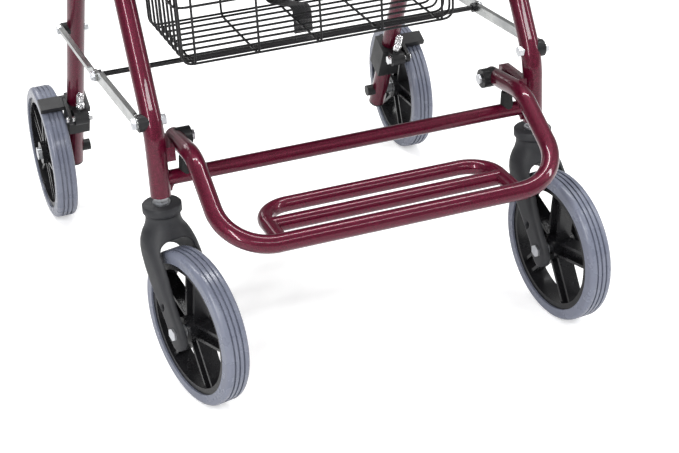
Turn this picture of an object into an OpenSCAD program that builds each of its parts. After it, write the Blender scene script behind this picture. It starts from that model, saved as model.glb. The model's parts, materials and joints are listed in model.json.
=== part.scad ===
// Four-wheeled rollator that doubles as a transport chair: steel tube frame,
// swivelling front wheels, fixed braked rear wheels, seat, basket and footrest.
// Millimetres, +Z up. The origin is on the floor at the middle of the footprint,
// -Y faces the footrest end and +Y the handle end.

/* [Overall] */
// Distance between the two front caster stems
stem_track = 500; // [420:5:600]
// Distance from the caster stems back to the rear axle
wheelbase = 550; // [450:5:660]
// Height of the seat rails above the floor
rail_z = 530; // [500:5:600]
// Height of the push grips at their lowest setting
grip_z = 905; // [850:5:980]

/* [Wheels] */
// Wheel diameter over the tyre
wheel_d = 200; // [160:5:240]
// Width of the tyre
tyre_w = 32; // [24:1:40]
// Thickness of the tyre from rim to tread
tyre_t = 15; // [10:1:22]
// Distance of each caster axle from its stem axis
trail = 60; // [40:1:75]
// Swivel angle of the left caster
swivel_l = 14; // [-180:1:180]
// Swivel angle of the right caster
swivel_r = 7; // [-180:1:180]
// Number of spokes in a wheel
spokes = 5; // [3:1:8]

/* [Frame tubes] */
// Outside diameter of the leg tubes
leg_d = 25.4; // [22:0.1:32]
// Wall of the leg tubes
leg_wall = 1.5; // [1:0.1:2.5]
// Outside diameter of the rails, cross tubes, rack and armrest tubes
rail_d = 19; // [16:0.5:24]
// Outside diameter of the footrest hoop
hoop_d = 22.2; // [18:0.1:28]
// Outside diameter of the backrest hoop
back_d = 16; // [12:0.5:20]
// Wall of the thinner tubes
wall = 1.5; // [1:0.1:2.5]
// Lean of the front legs above their bend, from upright
lean = 30; // [20:1:38]

/* [Fold linkage] */
// Height on the front leg of the hinge bracket
hinge_z = 690; // [650:5:720]
// Distance of the fold hinge behind the front leg axis
hinge_off = 38; // [34:1:50]
// Height of the side brace pivot on the rear leg
brace_rear_z = 335; // [300:5:400]
// How far the closed side braces dip below a straight line
brace_dip = 3; // [1:0.5:8]
// Width of the side brace channel
brace_w = 16; // [14:1:30]
// Diameter of the cross rod between the side braces
rod_d = 7; // [5:0.5:12]

/* [Footrest] */
// Forward reach of the footrest tube from the caster stems
foot_reach = 162; // [120:2:200]
// Height of the footrest tube
foot_z = 244; // [215:2:270]
// Depth of the footrest rack behind the front tube
rack_depth = 94; // [70:2:110]
// Width of the footrest rack between its side tubes
rack_w = 301; // [220:2:340]

/* [Seat and basket] */
// Depth of the seat
seat_depth = 355; // [300:5:400]
// Thickness of the seat cushion
cushion_t = 38; // [25:1:60]
// Basket depth, front to back
basket_depth = 172; // [140:2:190]
// Basket height
basket_h = 117; // [90:1:125]
// Width of the back pad
back_pad_w = 350; // [260:5:380]
// Height of the back pad
back_pad_h = 130; // [90:5:140]
// Length of an armrest pad
arm_pad_l = 125; // [90:5:140]

/* [Handles] */
// Length of a push grip
grip_l = 122; // [100:1:140]
// Diameter of a push grip
grip_d = 32; // [28:1:38]

/* [Hidden] */
$fn = 64;

burgundy = [0.42, 0.03, 0.13];
black = [0.09, 0.09, 0.1];
steel = [0.78, 0.79, 0.8];
tyre_grey = [0.5, 0.51, 0.56];
rubber_black = [0.05, 0.05, 0.05];
vinyl = [0.06, 0.06, 0.07];

// Clearances
run = 0.05;
slide = 0.1;
gap = 0.3;
cut = 1;
lap = 0.5;
swell = 0.12;
shy = 0.05;

leg_x = stem_track / 2;
leg_r = leg_d / 2;
wheel_r = wheel_d / 2;
rail_r = rail_d / 2;
hoop_r = hoop_d / 2;
back_r = back_d / 2;
post_r = leg_r - leg_wall - slide;
sleeve_r = leg_r + 3.3;

// Heights at the front legs, stacked up from the wheel
crown_top = wheel_d + 46;
stem_gap = 10;
leg_bottom = crown_top + stem_gap;
cross_z = leg_bottom + rail_r + 9.5;
cross_y = 4;
bend_z = leg_bottom + 84;
leg_bend_r = 90;

// Points on the front leg axis above its bend, as [y, z]
lean_dir = [sin(lean), cos(lean)];
lean_back = [cos(lean), -sin(lean)];
function on_leg(z) = [(z - bend_z) * tan(lean), z];

// Fold hinge and the straight rear leg below it
hinge = on_leg(hinge_z) + hinge_off * lean_back;
axle = [wheelbase, wheel_r];
rear_dir = (axle - hinge) / norm(axle - hinge);
function on_rear(z) = hinge + rear_dir * (hinge[1] - z) / -rear_dir[1];
rear_top = hinge - rear_dir * 10;
rear_end = axle + rear_dir * 28;

// Side braces: front pivot, rear pivot and the middle joint that the rod passes
brace_a = on_leg(bend_z + 11);
brace_b = on_rear(brace_rear_z);
chord = brace_b - brace_a;
brace_m = (brace_a + brace_b) / 2 + brace_dip * [chord[1], -chord[0]] / norm(chord);
brace_t = 2;
spacer_t = 5;
front_arm_x = leg_x + leg_r + spacer_t;
rear_arm_x = front_arm_x + brace_t + gap;
bolt_r = 4;

// Footrest, inside the front legs
foot_x = leg_x - leg_r - 11.2 - hoop_r;
foot_pivot = [40, bend_z - 31];
foot_bend = [-41.5, bend_z - 22.6];
foot_dir = (foot_pivot - foot_bend) / norm(foot_pivot - foot_bend);
foot_tail = foot_pivot + foot_dir * 10;
foot_bend_r = 60;
foot_corner_r = 62;
arm_over_cross = foot_bend[1] + (cross_y - foot_bend[0]) * foot_dir[1] / foot_dir[0];
rack_bend_r = 38;

// Seat frame
rail_off = 1.5;
rail_x = leg_x - leg_r - rail_r - rail_off;
seat_front = 45;
rail_end = 335;
seat_bar_y = 300;
rail_bend_r = 40;
board_z = rail_z + 17;
board_t = 12;
seat_w = 2 * (rail_x - 13.8);
knuckle_r = 14;

// Basket, hung from the rails
basket_w = 2 * (rail_x - rail_r - 26.8);
basket_front = 90;
basket_top = rail_z - 40;
basket_floor = basket_top - basket_h;
basket_wall = 4;
basket_corner = 14;
wire_r = 2.5;
hook_y = [165, 230];
strap_w = 26;
strap_t = 2;
strap_x = 17;

// Armrests
arm_collar_z = 728;
arm_hinge = on_leg(arm_collar_z) - 30 * lean_back;
arm_front = 50;
arm_pad_w = 46;
arm_pad_out = 8;
arm_pad_t = 26;

// Backrest
back_pivot = on_leg(762);
back_x = leg_x - sleeve_r - gap - 0.2 - back_r;
back_angle = 35;
back_dir = [cos(back_angle), sin(back_angle)];
back_len = 171;
back_bend_r = 45;
back_pad_t = 32;

// Handle posts and levers
collar_z = 780;
leg_top = collar_z + 26;
post_in = 610;
grip_y0 = on_leg(grip_z)[0] + 50;
post_bend_r = 45;
lever_pivot = [grip_y0 - 12, grip_z - 22];
lever_len = 118;
lever_x = 19;
lever_drop = 34;

// Wheels and brakes
wheel_gap = 7.3;
wheel_x = leg_x + leg_r + wheel_gap + tyre_w / 2;
axle_r = 5;
hub_r = 17;
hub_half = tyre_w / 2 + 1;
fork_in = tyre_w / 2 + 6;
fork_t = 9;
shoe_angle = 28;
shoe_gap = 4;
shoe_t = 8;
shoe_r = wheel_r + shoe_gap + shoe_t / 2;
shoe_at = axle + shoe_r * [-sin(shoe_angle), cos(shoe_angle)];
brake_arm_l = 35;
brake_pivot = shoe_at - brake_arm_l * [cos(shoe_angle), sin(shoe_angle)];
brake_in = leg_x + leg_r + 1.3;
clamp_l = 56;

// Middle of the footprint, front to back
mid_y = (wheelbase + wheel_r - foot_reach - hoop_r) / 2;
sides = [-1, 1];

// ---------------------------------------------------------------- helpers

module place() translate([0, -mid_y, 0]) children();

function unit(v) = v / norm(v);
function yz(x, p) = [x, p[0], p[1]];

// Points +Z of its children along v
module aim(v) rotate([0, acos(v[2] / norm(v)), atan2(v[1], v[0])]) children();

// Straight round bar or tube between two points
module bar(a, b, ro, ri = 0) {
    translate(a) aim(b - a) difference() {
        cylinder(h = norm(b - a), r = ro);
        if (ri > 0) translate([0, 0, -cut]) cylinder(h = norm(b - a) + 2 * cut, r = ri);
    }
}

// Turns a flat [y, z] drawing to face +X
module side_on() multmatrix([[0, 0, 1, 0], [1, 0, 0, 0], [0, 1, 0, 0], [0, 0, 0, 1]]) children();

// Cylinder along X from x0 to x1 at p = [y, z]
module bar_x(x0, x1, p, r) {
    translate([min(x0, x1), p[0], p[1]]) rotate([0, 90, 0]) cylinder(h = abs(x1 - x0), r = r);
}

// One bend of radius rb that leaves direction u for direction v at corner p
module elbow(p, u, v, rb, r) {
    a = acos(u * v);
    start = p - u * rb * tan(a / 2);
    side = unit(v - u * (u * v));
    c = start + side * rb;
    ex = -side;
    ez = cross(ex, u);
    multmatrix([[ex[0], u[0], ez[0], c[0]],
                [ex[1], u[1], ez[1], c[1]],
                [ex[2], u[2], ez[2], c[2]],
                [0, 0, 0, 1]])
        rotate_extrude(angle = a) translate([rb, 0]) circle(r = r);
}

// Solid round path along the points, bent with radius rb[i] at each inner point;
// the straights run a little into the bends, which are a hair thicker
module path(pts, rb, r, extra) {
    n = len(pts);
    u = [for (i = [0:n - 2]) unit(pts[i + 1] - pts[i])];
    back = [for (i = [0:n - 1])
        i == 0 || i == n - 1 ? -extra : rb[i] * tan(acos(u[i - 1] * u[i]) / 2) - lap];
    for (i = [0:n - 2])
        bar(pts[i] + u[i] * back[i], pts[i + 1] - u[i] * back[i + 1], r);
    for (i = [1:n - 2]) elbow(pts[i], u[i - 1], u[i], rb[i], r + swell);
}

// Bent tube: the outer path less the bore
module bent(pts, rb, ro, ri = 0) difference() {
    path(pts, rb, ro, 0);
    if (ri > 0) path(pts, rb, ri, cut);
}

// Flat link with round ends between two [y, z] points, x0 to x0 + t
module link(a, b, w, x0, t) {
    v = b - a;
    translate([x0, 0, 0]) side_on() linear_extrude(height = t) {
        for (p = [a, b]) translate(p) circle(r = w / 2);
        translate(a) rotate(atan2(v[1], v[0])) translate([0, shy - w / 2]) square([norm(v), w - 2 * shy]);
    }
}

// Rectangle w by d with round corners, centred
module round_rect(w, d, r) {
    square([w - 2 * r, d], center = true);
    square([w, d - 2 * r], center = true);
    for (x = sides, y = sides) translate([x * (w / 2 - r), y * (d / 2 - r)]) circle(r = r);
}

// Hex head or nut along +X of side sg
module hex_x(x, p, r, t) translate([x, p[0], p[1]]) rotate([0, 90, 0]) cylinder(h = t, r = r, $fn = 6);

// Copies on the left and the right, with the right side as drawn
module both() {
    children();
    mirror([1, 0, 0]) children();
}

// -------------------------------------------------------------- main frame

module leg_solid(extra = 0) {
    bar([leg_x, 0, leg_bottom - extra], [leg_x, 0, bend_z], leg_r);
    bar([leg_x, 0, bend_z], yz(leg_x, on_leg(leg_top)), leg_r);
}

// The same leg with its bend, filled, for what is cut to lie against it there
module leg_outside() {
    bent([[leg_x, 0, leg_bottom], [leg_x, 0, bend_z], yz(leg_x, on_leg(leg_top))], [0, leg_bend_r, 0], leg_r);
}

module front_leg() {
    difference() {
        bent([[leg_x, 0, leg_bottom], [leg_x, 0, bend_z], yz(leg_x, on_leg(leg_top))],
             [0, leg_bend_r, 0], leg_r, leg_r - leg_wall);
        bar_x(leg_x - leg_d, leg_x + leg_d, brace_a, bolt_r + run);
        bar_x(leg_x, leg_x + leg_d, on_leg(collar_z + 13), bolt_r + run);
    }
    // Pressed plug that carries the caster stem
    translate([leg_x, 0, leg_bottom]) cylinder(h = 14, r = leg_r - leg_wall / 2);
}

module front_leg_L() color(burgundy) place() mirror([1, 0, 0]) front_leg();
module front_leg_R() color(burgundy) place() front_leg();

module cross_tube() color(burgundy) place() {
    difference() {
        bar([-leg_x, cross_y, cross_z], [leg_x, cross_y, cross_z], rail_r, rail_r - wall);
        for (s = sides) bar([s * leg_x, 0, leg_bottom - 10], [s * leg_x, 0, bend_z], leg_r);
    }
    // Weld gussets under the tube ends
    both() difference() {
        translate([leg_x - leg_r - 13, 2, leg_bottom + 2]) cube([14, 4, cross_z - rail_r - leg_bottom]);
        bar([leg_x, 0, leg_bottom - 10], [leg_x, 0, bend_z], leg_r);
        bar([0, cross_y, cross_z], [leg_x, cross_y, cross_z], rail_r - wall / 2);
        translate([leg_x - leg_r - 13, 0, leg_bottom + 2]) rotate([-90, 0, 0]) cylinder(h = 10, r = 10);
    }
}

module seat_frame() color(burgundy) place() {
    leg_y = on_leg(rail_z)[0];
    difference() {
        union() {
            bent([[-rail_x, rail_end, rail_z], [-rail_x, seat_front, rail_z],
                  [rail_x, seat_front, rail_z], [rail_x, rail_end, rail_z]],
                 [0, rail_bend_r, rail_bend_r, 0], rail_r, rail_r - wall);
            both() difference() {
                bar_x(rail_x, leg_x, [leg_y, rail_z], 7);
                bar([rail_x, seat_front, rail_z], [rail_x, rail_end, rail_z], rail_r - wall);
            }
        }
        both() leg_solid();
    }
    difference() {
        bar([-rail_x, seat_bar_y, rail_z], [rail_x, seat_bar_y, rail_z], rail_r, rail_r - wall);
        for (s = sides) bar([s * rail_x, seat_bar_y - 30, rail_z], [s * rail_x, rail_end, rail_z], rail_r - 0.5);
    }
}

// Clamp sleeve round the front leg, centred at height z
module sleeve(z, l, r) {
    c = on_leg(z);
    bar(yz(leg_x, c - lean_dir * l / 2), yz(leg_x, c + lean_dir * l / 2), r);
}

module hinge_bracket() {
    difference() {
        union() {
            sleeve(hinge_z, 44, leg_r + 4.3);
            for (x = [leg_x - leg_r - 4, leg_x + leg_r + 0.5]) link(on_leg(hinge_z), hinge, 26, x, 3.5);
        }
        leg_solid();
        bar_x(leg_x - 30, leg_x + 30, hinge, bolt_r + run);
    }
}
module hinge_brackets() color(black) place() both() hinge_bracket();

module frame_bolt_set() {
    // Fold hinge bolt
    bar_x(leg_x - leg_r - 4, leg_x + leg_r + 4, hinge, bolt_r);
    hex_x(leg_x + leg_r + 4, hinge, 7.5, 4.5);
    hex_x(leg_x - leg_r - 4 - 4.5, hinge, 7.5, 4.5);
    // Brace bolt through the front leg
    bar_x(leg_x - leg_r - 3, rear_arm_x + 1, brace_a, bolt_r);
    hex_x(front_arm_x + brace_t + gap, brace_a, 7, 4.5);
    difference() {
        hex_x(leg_x - leg_r - 4.5, brace_a, 7, 7);
        leg_outside();
    }
    // Footrest pivot bolt
    bar_x(foot_x - hoop_r - 8, leg_x - leg_r - 4, foot_pivot, bolt_r);
    hex_x(foot_x - hoop_r - 12.5, foot_pivot, 7, 4.5);
    // Backrest stud
    difference() {
        bar_x(back_x - back_r - 1, leg_x, back_pivot, bolt_r + 1);
        leg_solid();
    }
    bar_x(back_x - back_r - 3, back_x - back_r - gap, back_pivot, 8);
}
module frame_bolts() color(steel) place() both() frame_bolt_set();

module brace_spacers() color(black) place() both() difference() {
    bar_x(leg_x + 4, leg_x + leg_r + spacer_t - gap, brace_a, 11);
    leg_outside();
    bar_x(leg_x, rear_arm_x, brace_a, bolt_r + run);
}

module bumpers() color(rubber_black) place() both() difference() {
    translate([foot_x - 10, cross_y - 10, cross_z]) cube([20, 20, arm_over_cross - hoop_r - gap - cross_z]);
    bar([0, cross_y, cross_z], [leg_x, cross_y, cross_z], rail_r);
    bar(yz(foot_x, foot_bend), yz(foot_x, foot_tail), hoop_r + gap);
}

module footrest_brackets() color(burgundy) place() both() difference() {
    translate([leg_x - leg_r - 9.5, -6, foot_pivot[1] - 9]) cube([14, foot_pivot[0] + 20, 18]);
    bar([leg_x, 0, leg_bottom], [leg_x, 0, bend_z], leg_r);
    bar_x(foot_x, leg_x, foot_pivot, bolt_r + run);
}

module knob_shape(h) {
    cylinder(h = h, r = 9);
    for (a = [0:120:240]) rotate(a) translate([9, 0, 0]) cylinder(h = h, r = 7);
}
module handle_knobs() color(black) place() both() {
    c = on_leg(collar_z + 13);
    difference() {
        union() {
            sleeve(collar_z + 13, 30, sleeve_r);
            bar_x(leg_x, leg_x + leg_r + 9, c, 7);
        }
        leg_solid();
    }
    bar_x(leg_x + leg_r - leg_wall + 0.1, leg_x + leg_r + 9, c, bolt_r);
    translate([leg_x + leg_r + 9, c[0], c[1]]) rotate([0, 90, 0]) knob_shape(13);
}

module arm_brackets() color(black) place() both() {
    c = on_leg(arm_collar_z);
    difference() {
        union() {
            sleeve(arm_collar_z, 30, sleeve_r);
            for (x = [leg_x - leg_r - 3.3, leg_x + leg_r + gap]) link(c, arm_hinge, 20, x, 3);
        }
        leg_solid();
    }
    bar_x(leg_x - leg_r - 3, leg_x + leg_r + 6, arm_hinge, bolt_r);
}

// -------------------------------------------------------------- rear frame

module rear_leg_axis(r) bar(yz(leg_x, rear_top), yz(leg_x, rear_end), r);

module rear_leg() difference() {
    bar(yz(leg_x, rear_top), yz(leg_x, rear_end), leg_r, leg_r - leg_wall);
    for (p = [hinge, brace_b]) bar_x(leg_x - leg_d, leg_x + leg_d, p, bolt_r + run);
    bar_x(leg_x - leg_d, leg_x + leg_d, axle, axle_r + run);
}
module rear_leg_L() color(burgundy) place() mirror([1, 0, 0]) rear_leg();
module rear_leg_R() color(burgundy) place() rear_leg();

module rear_cross_tube() color(burgundy) place() difference() {
    p = on_rear(rail_z - 30);
    bar(yz(-leg_x, p), yz(leg_x, p), rail_r, rail_r - wall);
    for (s = sides) mirror([s < 0 ? 1 : 0, 0, 0]) rear_leg_axis(leg_r);
}

module brake_clamp() {
    c = on_rear(shoe_at[1] - 24);
    difference() {
        union() {
            translate(yz(leg_x, c)) rotate([atan2(rear_dir[1], rear_dir[0]) - 90, 0, 0])
                translate([-leg_r - 5, -leg_r - 5, -clamp_l / 2])
                    cube([leg_d + 5.7, leg_d + 10, clamp_l]);
            link(brake_pivot, on_rear(brake_pivot[1]) , 20, leg_x - 10, 20);
        }
        rear_leg_axis(leg_r);
        bar_x(leg_x - 30, leg_x + 30, brake_pivot, bolt_r + run);
    }
}
module brake_clamps() color(black) place() both() brake_clamp();

module brake_adjuster() {
    bar_x(leg_x - 12, brake_in + 8, brake_pivot, bolt_r);
    hex_x(leg_x - 16, brake_pivot, 7, 4);
    // Cable adjuster barrel with its nut, on the front face of the clamp
    s = brake_pivot + [4, 10];
    up = -rear_dir;
    bar(yz(leg_x, s), yz(leg_x, s + up * 20), 4.5);
    bar(yz(leg_x, s + up * 8), yz(leg_x, s + up * 14), 6.5);
    bar(yz(leg_x, s + up * 20), yz(leg_x, s + up * 26), 3);
}
module brake_adjusters() color(steel) place() both() difference() {
    brake_adjuster();
    difference() {
        link(brake_pivot, on_rear(brake_pivot[1]), 20, leg_x - 10, 20);
        bar_x(leg_x - 30, leg_x + 30, brake_pivot, bolt_r + run);
    }
}

module rear_axles() color(steel) place() both() {
    hub_in = wheel_x - hub_half - gap;
    hub_out = wheel_x + hub_half + gap;
    bar_x(leg_x - leg_r - 8, hub_out + 1, axle, axle_r);
    bar_x(hub_out, hub_out + 5, axle, 9.5);
    difference() {
        bar_x(leg_x, hub_in, axle, 9);
        rear_leg_axis(leg_r);
    }
}

module rear_plugs() color(black) place() both() {
    difference() {
        bar_x(leg_x - leg_r - 10, leg_x, axle, 8.5);
        rear_leg_axis(leg_r);
        bar_x(leg_x - leg_r - 8, leg_x, axle, axle_r);
    }
    bar(yz(leg_x, rear_end), yz(leg_x, rear_end + rear_dir * 3), leg_r);
    bar(yz(leg_x, rear_end - rear_dir * 8), yz(leg_x, rear_end), leg_r - leg_wall - run);
    difference() {
        bar_x(leg_x + 4, rear_arm_x - gap, brace_b, 9);
        rear_leg_axis(leg_r);
        bar_x(leg_x, rear_arm_x, brace_b, bolt_r);
    }
}

module rear_brace_bolts() color(steel) place() both() {
    bar_x(leg_x - leg_r - 3, rear_arm_x + brace_t + 1, brace_b, bolt_r);
    hex_x(rear_arm_x + brace_t + gap, brace_b, 7, 4.5);
    difference() {
        hex_x(leg_x - leg_r - 4.5, brace_b, 7, 7);
        rear_leg_axis(leg_r);
    }
}

// ------------------------------------------------------------------ wheels

// Wheel parts lie in the XZ plane's normal X: axle along X, centred at the origin
module tyre() rotate([0, 90, 0]) rotate_extrude() difference() {
    r_in = wheel_r - tyre_t;
    shoulder = 6;
    union() {
        translate([r_in, -tyre_w / 2]) square([tyre_t - shoulder, tyre_w]);
        translate([r_in, shoulder - tyre_w / 2]) square([tyre_t, tyre_w - 2 * shoulder]);
        for (s = sides) translate([wheel_r - shoulder, s * (tyre_w / 2 - shoulder)]) circle(r = shoulder);
    }
    for (g = [-0.2, 0, 0.2]) translate([wheel_r - 2, g * tyre_w - 1.2]) square([3, 2.4]);
}

module rim() {
    r_out = wheel_r - tyre_t;
    difference() {
        union() {
            rotate([0, 90, 0]) rotate_extrude() translate([r_out - 8, -tyre_w * 0.42]) square([8, tyre_w * 0.84]);
            rotate([0, 90, 0]) cylinder(h = 2 * hub_half, r = hub_r, center = true);
            side_on() linear_extrude(height = tyre_w * 0.64, center = true)
                for (i = [0:spokes - 1], s = sides) rotate(i * 360 / spokes)
                    translate([s * 9 - 2, hub_r - 7]) square([4, r_out - hub_r + 2]);
            side_on() linear_extrude(height = 5, center = true)
                for (i = [0:spokes - 1]) rotate(i * 360 / spokes)
                    translate([-8.5, hub_r - 6]) square([17, r_out - hub_r]);
        }
        rotate([0, 90, 0]) cylinder(h = 4 * hub_half, r = axle_r + run, center = true);
    }
}

module at_rear(s) place() translate([s * wheel_x, axle[0], axle[1]]) rotate([18, 0, 0]) children();
module rear_tyre_L() color(tyre_grey) at_rear(-1) tyre();
module rear_tyre_R() color(tyre_grey) at_rear(1) tyre();
module rear_rim_L() color(black) at_rear(-1) rim();
module rear_rim_R() color(black) at_rear(1) rim();

// Caster frame: stem on +Z, wheel ahead of the stem along -Y before the swivel
module at_caster(s) place() translate([s * leg_x, 0, 0]) rotate(s < 0 ? swivel_l : swivel_r) children();
module at_caster_wheel(s) at_caster(s) translate([0, -trail, wheel_r]) rotate([10, 0, 0]) children();

module fork_arm_profile() {
    polygon([[-23, crown_top - 30], [-25, crown_top - 55], [-14, crown_top - 85], [trail - 14, wheel_r - 4],
             [trail + 13, wheel_r + 4], [trail + 2, wheel_r + 55], [trail - 22, crown_top - 56],
             [23, crown_top - 38], [23, crown_top - 30]]);
    translate([trail, wheel_r]) circle(r = 14);
}

module fork() difference() {
    union() {
        // Crown cap with its lip, and the neck
        translate([0, 0, crown_top - 12]) cylinder(h = 12, r = 24.5);
        translate([0, 0, crown_top - 16]) cylinder(h = 4, r = 22);
        translate([0, 0, crown_top - 36]) cylinder(h = 20, r = 23);
        rotate([90, 0, -90]) linear_extrude(height = 2 * (fork_in + fork_t), center = true)
            fork_arm_profile();
    }
    // Room for the tyre between the arms
    translate([0, -trail, wheel_r]) rotate([0, 90, 0]) cylinder(h = 2 * fork_in, r = wheel_r + 6, center = true);
    translate([-fork_in, -trail - 60, 0]) cube([2 * fork_in, 120, wheel_r]);
    // Axle and alternative slot
    translate([0, -trail, wheel_r]) rotate([0, 90, 0]) cylinder(h = 200, r = axle_r, center = true);
    for (s = sides) translate([s * (fork_in + fork_t / 2), -trail + 3, wheel_r]) {
        translate([0, 0, 26]) rotate([0, 90, 0]) cylinder(h = 20, r = 4, center = true);
        translate([0, 3, 38]) rotate([0, 90, 0]) cylinder(h = 20, r = 4, center = true);
    }
    translate([0, 0, crown_top - 24]) cylinder(h = 30, r = 6);
}
module fork_L() color(black) at_caster(-1) fork();
module fork_R() color(black) at_caster(1) fork();

module caster_axle() {
    out = fork_in + fork_t;
    translate([0, -trail, wheel_r]) {
        rotate([0, 90, 0]) cylinder(h = 2 * out + 4, r = axle_r, center = true);
        for (s = sides) translate([s * (out + 2.5), 0, 0]) rotate([0, 90, 0])
            cylinder(h = 5, r = 8.5, center = true, $fn = 6);
        for (s = sides) translate([s * (fork_in + hub_half + gap) / 2, 0, 0]) rotate([0, 90, 0])
            cylinder(h = fork_in - hub_half - gap, r = 8, center = true);
    }
    // Stem bolt with its washer and nut under the leg
    translate([0, 0, crown_top - 24]) cylinder(h = 24 + stem_gap - gap, r = 6);
    translate([0, 0, crown_top]) cylinder(h = 2, r = 11);
    translate([0, 0, crown_top + 2]) cylinder(h = 6, r = 9.5, $fn = 6);
}
module caster_axle_L() color(steel) at_caster(-1) caster_axle();
module caster_axle_R() color(steel) at_caster(1) caster_axle();

module caster_tyre_L() color(tyre_grey) at_caster_wheel(-1) tyre();
module caster_tyre_R() color(tyre_grey) at_caster_wheel(1) tyre();
module caster_rim_L() color(black) at_caster_wheel(-1) rim();
module caster_rim_R() color(black) at_caster_wheel(1) rim();

module brake_arm() {
    plate_t = 5;
    difference() {
        union() {
            link(brake_pivot, shoe_at, 16, brake_in, plate_t);
            translate(yz(0, shoe_at)) rotate([shoe_angle, 0, 0])
                translate([brake_in, -12, -shoe_t / 2]) cube([wheel_x + tyre_w / 2 + 2 - brake_in, 22, shoe_t]);
        }
        bar_x(brake_in - 1, brake_in + 20, brake_pivot, bolt_r + run);
    }
}
module brake_arm_L() color(black) place() mirror([1, 0, 0]) brake_arm();
module brake_arm_R() color(black) place() brake_arm();

// ------------------------------------------------------------- fold braces

// Channel arm with a lip along its upper edge
module brace_arm(a, b, x, lip) {
    v = b - a;
    difference() {
        union() {
            link(a, b, brace_w, x, brace_t);
            translate([x, a[0], a[1]]) rotate([atan2(v[1], v[0]), 0, 0])
                translate([lip < 0 ? lip : 0, 16, brace_w / 2 - brace_t])
                    cube([abs(lip) + brace_t, norm(v) - 32, brace_t]);
        }
        for (p = [a, b]) bar_x(x - 10, x + 10, p, bolt_r + run);
    }
}
module brace_front_L() color(steel) place() mirror([1, 0, 0]) brace_arm(brace_a, brace_m, front_arm_x, -4.5);
module brace_front_R() color(steel) place() brace_arm(brace_a, brace_m, front_arm_x, -4.5);
module brace_rear_L() color(steel) place() mirror([1, 0, 0]) brace_arm(brace_m, brace_b, rear_arm_x, 5);
module brace_rear_R() color(steel) place() brace_arm(brace_m, brace_b, rear_arm_x, 5);

module cross_rod() color(black) place() {
    bar_x(-front_arm_x + gap, front_arm_x - gap, brace_m, rod_d / 2);
    both() {
        hex_x(front_arm_x - 5, brace_m, 7, 5);
        bar_x(front_arm_x - 1, front_arm_x + brace_t, brace_m, bolt_r);
    }
}

module strap_loop() color(vinyl) place() translate([strap_x - strap_w / 2, brace_m[0], brace_m[1]]) difference() {
    rotate([0, 90, 0]) cylinder(h = strap_w, r = rod_d / 2 + strap_t);
    rotate([0, 90, 0]) translate([0, 0, -cut]) cylinder(h = strap_w + 2 * cut, r = rod_d / 2);
}

// ---------------------------------------------------------------- footrest

module hoop_tube(bore = 0) {
    bent([yz(-foot_x, foot_tail), yz(-foot_x, foot_bend), [-foot_x, -foot_reach, foot_z],
          [foot_x, -foot_reach, foot_z], yz(foot_x, foot_bend), yz(foot_x, foot_tail)],
         [0, foot_bend_r, foot_corner_r, foot_corner_r, foot_bend_r, 0], hoop_r, bore);
}
module footrest_hoop() color(burgundy) place() difference() {
    hoop_tube(hoop_r - wall);
    for (s = sides) bar_x(s * (foot_x - hoop_d), s * (foot_x + hoop_d), foot_pivot, bolt_r + run);
}

module footrest_rack() color(burgundy) place() {
    x = rack_w / 2;
    back = rack_depth - foot_reach;
    difference() {
        bent([[-x, -foot_reach, foot_z], [-x, back, foot_z], [x, back, foot_z], [x, -foot_reach, foot_z]],
             [0, rack_bend_r, rack_bend_r, 0], rail_r, rail_r - wall);
        hoop_tube();
    }
    mid = back - rack_depth / 2;
    difference() {
        bar([-x, mid, foot_z], [x, mid, foot_z], rail_r, rail_r - wall);
        for (s = sides) bar([s * x, -foot_reach, foot_z], [s * x, back - rack_bend_r, foot_z], rail_r - 0.5);
    }
}

module footrest_caps() color(black) place() both() difference() {
    bar_x(foot_x - hoop_r - 8, foot_x, foot_pivot, 12.5);
    bar(yz(foot_x, foot_bend), yz(foot_x, foot_tail + foot_dir * 10), hoop_r);
    bar_x(foot_x - hoop_r - 9, foot_x, foot_pivot, bolt_r + run);
}

// ---------------------------------------------------------- seat and basket

module seat_board() color(black) place() {
    translate([-seat_w / 2, seat_front - 15, board_z]) cube([seat_w, seat_depth, board_t]);
    // Hinge knuckles round the front rail
    for (s = sides) difference() {
        union() {
            bar_x(s * 110 - 20, s * 110 + 20, [seat_front, rail_z], knuckle_r);
            translate([s * 110 - 20, seat_front - 10, rail_z]) cube([40, 24, board_z - rail_z]);
        }
        bar_x(s * 110 - 22, s * 110 + 22, [seat_front, rail_z], rail_r + run);
    }
    // Buffers over the seat bar
    for (s = sides) translate([s * 120, seat_bar_y, rail_z + rail_r + gap])
        cylinder(h = board_z - rail_z - rail_r - gap, r = 9);
}

module seat_cushion() color(vinyl) place()
    translate([0, seat_front - 15 + seat_depth / 2, board_z + board_t])
        linear_extrude(height = cushion_t) round_rect(seat_w, seat_depth, 25);

module basket() color(black) place() translate([0, basket_front + basket_depth / 2, 0]) difference() {
    translate([0, 0, basket_floor]) linear_extrude(height = basket_h)
        round_rect(basket_w, basket_depth, basket_corner);
    translate([0, 0, basket_floor + basket_wall]) linear_extrude(height = basket_h)
        round_rect(basket_w - 2 * basket_wall, basket_depth - 2 * basket_wall, basket_corner - basket_wall);
}

module basket_hooks() color(black) place() both() for (y = hook_y)
    bent([[basket_w / 2 + wire_r, y, basket_top - 30],
          [basket_w / 2 + wire_r, y, rail_z + rail_r + gap + wire_r],
          [rail_x + 4, y, rail_z + rail_r + gap + wire_r]], [0, 8, 0], wire_r);

module strap() color(vinyl) place() {
    y1 = basket_front + basket_depth - basket_wall;
    floor_z = basket_floor + basket_wall;
    translate([strap_x - strap_w / 2, brace_m[0] - 8, floor_z]) cube([strap_w, y1 - brace_m[0] + 8, strap_t]);
    translate([strap_x - strap_w / 2, y1 - strap_t, floor_z]) cube([strap_w, strap_t, basket_top - floor_z - 4]);
}

// -------------------------------------------------------- armrests and back

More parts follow.
